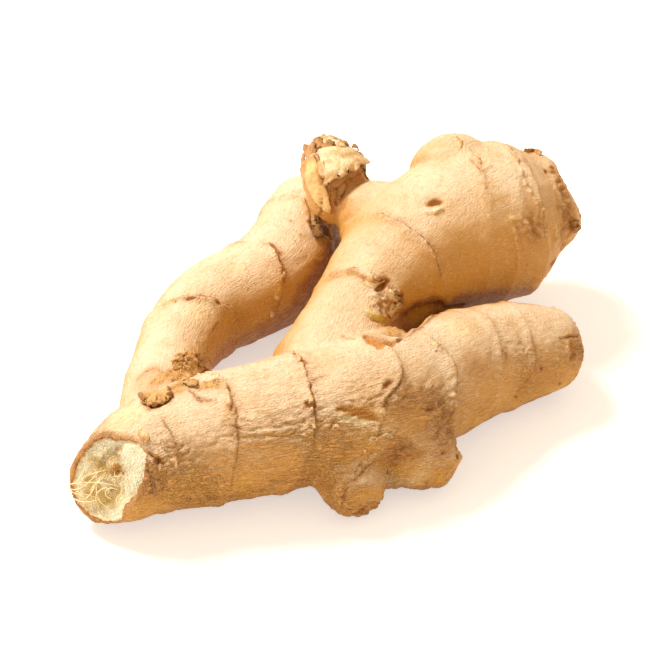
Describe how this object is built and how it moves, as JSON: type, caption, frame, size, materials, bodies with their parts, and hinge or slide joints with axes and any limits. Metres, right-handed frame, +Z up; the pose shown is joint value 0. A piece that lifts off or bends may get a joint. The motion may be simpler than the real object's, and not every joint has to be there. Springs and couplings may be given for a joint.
{
  "type": "ginger root",
  "caption": "Fresh ginger rhizome lying down: a thick ringed stem with a broken end, a bent back finger, a swollen crown and a dried bud.",
  "frame": {"origin": "on the table, under the middle of the box that the rhizome fills", "axes": "+Z up, +X along the main stem from its broken end to its tip, +Y towards the tip of the back finger"},
  "size_m": [0.1345, 0.1313, 0.0512],
  "materials": {
    "skin": "matt pale tan skin, thin and papery over pale yellow flesh, with brown scale rings and fine lengthwise wrinkles"
  },
  "bodies": {
    "root": {"rhizome": "skin"}
  },
  "joints": []
}
